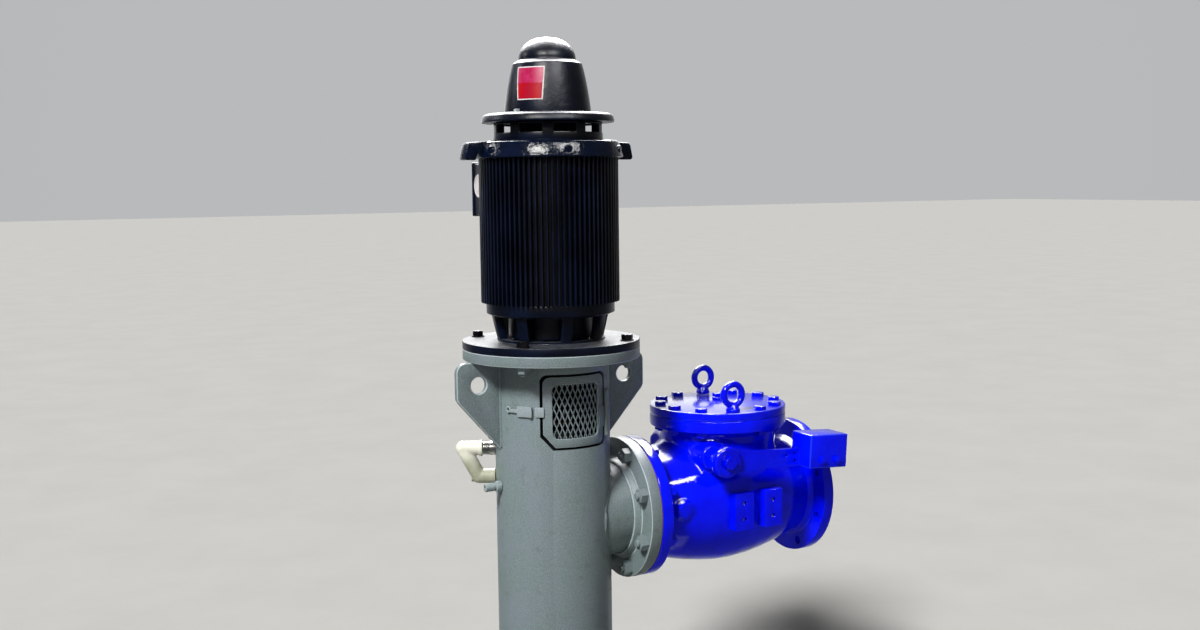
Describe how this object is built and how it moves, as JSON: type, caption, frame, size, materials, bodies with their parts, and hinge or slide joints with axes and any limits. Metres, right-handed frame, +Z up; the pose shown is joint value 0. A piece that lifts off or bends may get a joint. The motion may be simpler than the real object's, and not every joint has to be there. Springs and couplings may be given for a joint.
{
  "type": "vertical turbine pump set with swing check valve",
  "caption": "Vertical turbine pump head on a concrete plinth, with a vertical motor, guard doors over the shaft seal and a lever-and-weight check valve.",
  "frame": {"origin": "on the floor, at the middle of the plinth's underside, below the pump axis", "axes": "+Z up along the pump shaft, +X along the discharge, the front guard door faces -Y"},
  "size_m": [1.08, 0.76, 1.809],
  "materials": {
    "grey_paint": "mid grey machinery paint, satin",
    "navy_paint": "near-black navy enamel on castings",
    "blue_paint": "glossy cobalt blue epoxy on castings",
    "bare_steel": "bare and zinc-plated steel",
    "bronze": "cast bronze",
    "white_pvc": "off-white pipe plastic",
    "red_gasket": "red sheet gasket",
    "concrete": "cast concrete, floated top"
  },
  "bodies": {
    "stand": {"sole_plate": "grey_paint", "head_base_flange": "grey_paint", "head_column_lower": "grey_paint", "head_column_upper": "grey_paint", "head_top_flange": "grey_paint", "lifting_ear_left": "grey_paint", "lifting_ear_right": "grey_paint", "discharge_nozzle": "grey_paint", "discharge_flange": "grey_paint", "seal_plate": "grey_paint", "stuffing_box": "grey_paint", "front_guard_hinge_base": "grey_paint", "rear_guard_hinge_base": "grey_paint", "motor_base": "navy_paint", "motor_finned_frame": "navy_paint", "motor_top_ring": "navy_paint", "motor_neck": "navy_paint", "motor_canopy_brim": "navy_paint", "motor_canopy_cap": "navy_paint", "terminal_box": "navy_paint", "terminal_box_cover": "navy_paint", "valve_body": "blue_paint", "valve_cover": "blue_paint", "valve_eyebolt_front": "blue_paint", "valve_eyebolt_rear": "blue_paint", "valve_cover_plug": "blue_paint", "hinge_packing_nut": "blue_paint", "front_guard_latch": "bare_steel", "rear_guard_latch": "bare_steel", "drain_nipple": "bare_steel", "test_plug": "bare_steel", "packing_gland": "bronze", "valve_seat_ring": "bronze", "drain_trap": "white_pvc", "flange_gasket": "red_gasket", "concrete_plinth": "concrete"},
    "rotor": {"pump_shaft": "bare_steel", "shaft_coupling": "bare_steel"},
    "front_guard": {"front_guard_door": "grey_paint", "front_guard_mesh": "grey_paint", "front_guard_hinge_leaf": "grey_paint", "front_guard_latch_hook": "bare_steel"},
    "rear_guard": {"rear_guard_door": "grey_paint", "rear_guard_mesh": "grey_paint", "rear_guard_hinge_leaf": "grey_paint", "rear_guard_latch_hook": "bare_steel"},
    "valve_lever": {"hinge_shaft": "blue_paint", "lever_arm": "blue_paint", "lever_weight": "blue_paint", "valve_disc": "bronze"}
  },
  "joints": [
    {"name": "front_guard_hinge", "type": "hinge", "parent": "stand", "child": "front_guard", "pos_m": [0.08506, -0.1137, 0.94], "axis": [0, 0, 1], "range_deg": [0, 120]},
    {"name": "rear_guard_hinge", "type": "hinge", "parent": "stand", "child": "rear_guard", "pos_m": [-0.08506, 0.1137, 0.94], "axis": [0, 0, 1], "range_deg": [0, 120]},
    {"name": "valve_lever_swing", "type": "hinge", "parent": "stand", "child": "valve_lever", "pos_m": [0.366, 0, 0.806], "axis": [0, -1, 0], "range_deg": [0, 60]},
    {"name": "pump_shaft_spin", "type": "hinge", "parent": "stand", "child": "rotor", "pos_m": [0, 0, 0.95], "axis": [0, 0, 1], "continuous": true}
  ]
}
